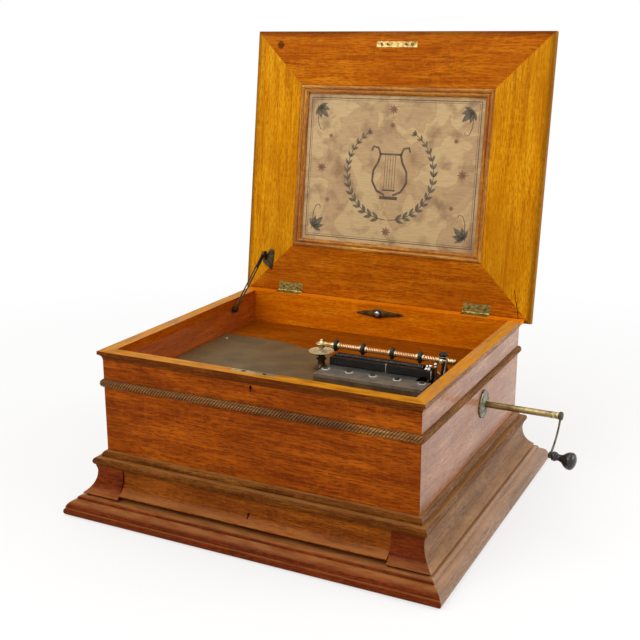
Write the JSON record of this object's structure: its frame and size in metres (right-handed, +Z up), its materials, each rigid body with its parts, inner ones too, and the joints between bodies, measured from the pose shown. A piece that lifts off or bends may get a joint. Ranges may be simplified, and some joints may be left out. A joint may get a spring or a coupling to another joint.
{
  "type": "disc music box",
  "caption": "Table disc music box: moulded oak case with a hinged lid on a stay, a disc drawer in the plinth, and a crank-wound comb movement under a pressure bar.",
  "frame": {"origin": "middle of the underside of the base, on the surface it stands on", "axes": "+X to the right seen from the front, +Y to the back, +Z up"},
  "size_m": [0.7625, 0.62, 0.7613],
  "materials": {
    "outer_oak": "varnished quarter-sawn oak, satin",
    "lid_oak": "varnished golden oak, satin",
    "inner_oak": "varnished oak, satin",
    "drawer_wood": "bare pine",
    "print_paper": "sepia printed paper",
    "brass": "aged polished brass",
    "bed_metal": "bronzed cast iron",
    "comb_steel": "ground tuned steel",
    "black_iron": "black enamelled iron",
    "steel": "plain steel",
    "dark_steel": "oil-blackened steel",
    "black_wood": "ebonised turned wood"
  },
  "bodies": {
    "case": {"plinth_front": "outer_oak", "plinth_left": "outer_oak", "plinth_right": "outer_oak", "plinth_back": "outer_oak", "cove_board_left": "outer_oak", "cove_board_right": "outer_oak", "cove_board_back": "outer_oak", "cove_blocks_front": "outer_oak", "waist_mouldings": "outer_oak", "rope_mouldings": "outer_oak", "rim_mouldings": "inner_oak", "case_front": "outer_oak", "case_back": "outer_oak", "case_left": "outer_oak", "case_right": "outer_oak", "bottom_board": "drawer_wood", "motor_board": "drawer_wood", "deck_board": "inner_oak", "case_lock": "brass", "drawer_runners": "drawer_wood", "hinge_case_leaves": "brass", "stay_stud": "dark_steel", "bed_plate": "bed_metal", "centre_post": "brass", "comb_base": "black_iron", "comb": "comb_steel", "comb_screws": "comb_steel", "gantry": "black_iron", "bar_bracket": "black_iron", "motor_frame": "steel", "crank_escutcheon": "black_iron"},
    "lid": {"lid_front_rail": "lid_oak", "lid_back_rail": "lid_oak", "lid_left_stile": "lid_oak", "lid_right_stile": "lid_oak", "lid_panel": "lid_oak", "lid_bead_frame": "lid_oak", "lid_print": "print_paper", "lid_catch_plate": "brass", "hinge_lid_leaves": "brass", "stay_bracket": "dark_steel"},
    "stay_arm": {"stay_arm": "dark_steel"},
    "drawer": {"drawer_front": "outer_oak", "drawer_sides": "drawer_wood", "drawer_back": "drawer_wood", "drawer_bottom": "drawer_wood", "drawer_lock": "brass"},
    "crank": {"crank_shaft": "brass", "crank_arm": "dark_steel"},
    "crank_knob": {"crank_knob": "black_wood"},
    "winding_wheel": {"winding_wheel": "brass"},
    "spring_barrel": {"spring_barrel": "brass", "mainspring": "steel"},
    "drive_gear": {"drive_gear": "brass"},
    "sprocket": {"sprocket": "steel"},
    "governor": {"governor": "brass"},
    "star_wheels": {"star_wheels": "dark_steel"},
    "pressure_bar": {"pressure_bar": "brass"},
    "bar_rollers": {"bar_rollers": "black_iron"},
    "turn_button": {"turn_button": "black_iron"}
  },
  "joints": [
    {"name": "lid_hinge", "type": "hinge", "parent": "case", "child": "lid", "pos_m": [0, 0.2445, 0.2732], "axis": [-1, 0, 0], "range_deg": [-97.6, 0]},
    {"name": "stay_pivot", "type": "hinge", "parent": "lid", "child": "stay_arm", "pos_m": [-0.249, 0.24563, 0.34064], "axis": [-1, 0, 0], "range_deg": [0, 125]},
    {"name": "drawer_slide", "type": "slide", "parent": "case", "child": "drawer", "axis": [0, -1, 0], "range_m": [0, 0.34]},
    {"name": "crank_turn", "type": "hinge", "parent": "case", "child": "crank", "pos_m": [0.27, 0.041, 0.181], "axis": [1, 0, 0], "continuous": true},
    {"name": "crank_knob_spin", "type": "hinge", "parent": "crank", "child": "crank_knob", "pos_m": [0.3969, -0.01301, 0.136], "axis": [0.9898, -0.1096, -0.0913], "continuous": true},
    {"name": "winding_turn", "type": "hinge", "parent": "case", "child": "winding_wheel", "pos_m": [0.15, 0.06248, 0.154], "axis": [1, 0, 0], "continuous": true},
    {"name": "barrel_turn", "type": "hinge", "parent": "case", "child": "spring_barrel", "pos_m": [0.15, 0.06248, 0.154], "axis": [1, 0, 0], "continuous": true},
    {"name": "drive_turn", "type": "hinge", "parent": "case", "child": "drive_gear", "pos_m": [0.15, 0.01442, 0.18602], "axis": [1, 0, 0], "continuous": true},
    {"name": "sprocket_turn", "type": "hinge", "parent": "case", "child": "sprocket", "pos_m": [0.192, 0, 0.2365], "axis": [1, 0, 0], "continuous": true},
    {"name": "governor_turn", "type": "hinge", "parent": "case", "child": "governor", "pos_m": [0.15, -0.02, 0.14637], "axis": [1, 0, 0], "continuous": true},
    {"name": "star_wheels_turn", "type": "hinge", "parent": "case", "child": "star_wheels", "pos_m": [0.105, 0, 0.2365], "axis": [1, 0, 0], "continuous": true},
    {"name": "bar_lift", "type": "hinge", "parent": "case", "child": "pressure_bar", "pos_m": [0.215, 0, 0.2576], "axis": [0, 1, 0], "range_deg": [0, 75]},
    {"name": "rollers_spin", "type": "hinge", "parent": "pressure_bar", "child": "bar_rollers", "pos_m": [0.1, 0, 0.2576], "axis": [1, 0, 0], "continuous": true},
    {"name": "button_turn", "type": "hinge", "parent": "case", "child": "turn_button", "pos_m": [0.008, 0.217, 0.257], "axis": [0, 1, 0], "range_deg": [0, 60]}
  ],
  "couplings": [
    {"joint": "stay_pivot", "follows": "lid_hinge", "ratio": -1.2413},
    {"joint": "winding_turn", "follows": "crank_turn", "ratio": -0.4375},
    {"joint": "drive_turn", "follows": "barrel_turn", "ratio": -3.7143},
    {"joint": "sprocket_turn", "follows": "barrel_turn", "ratio": 18.571},
    {"joint": "governor_turn", "follows": "barrel_turn", "ratio": 18.571}
  ]
}
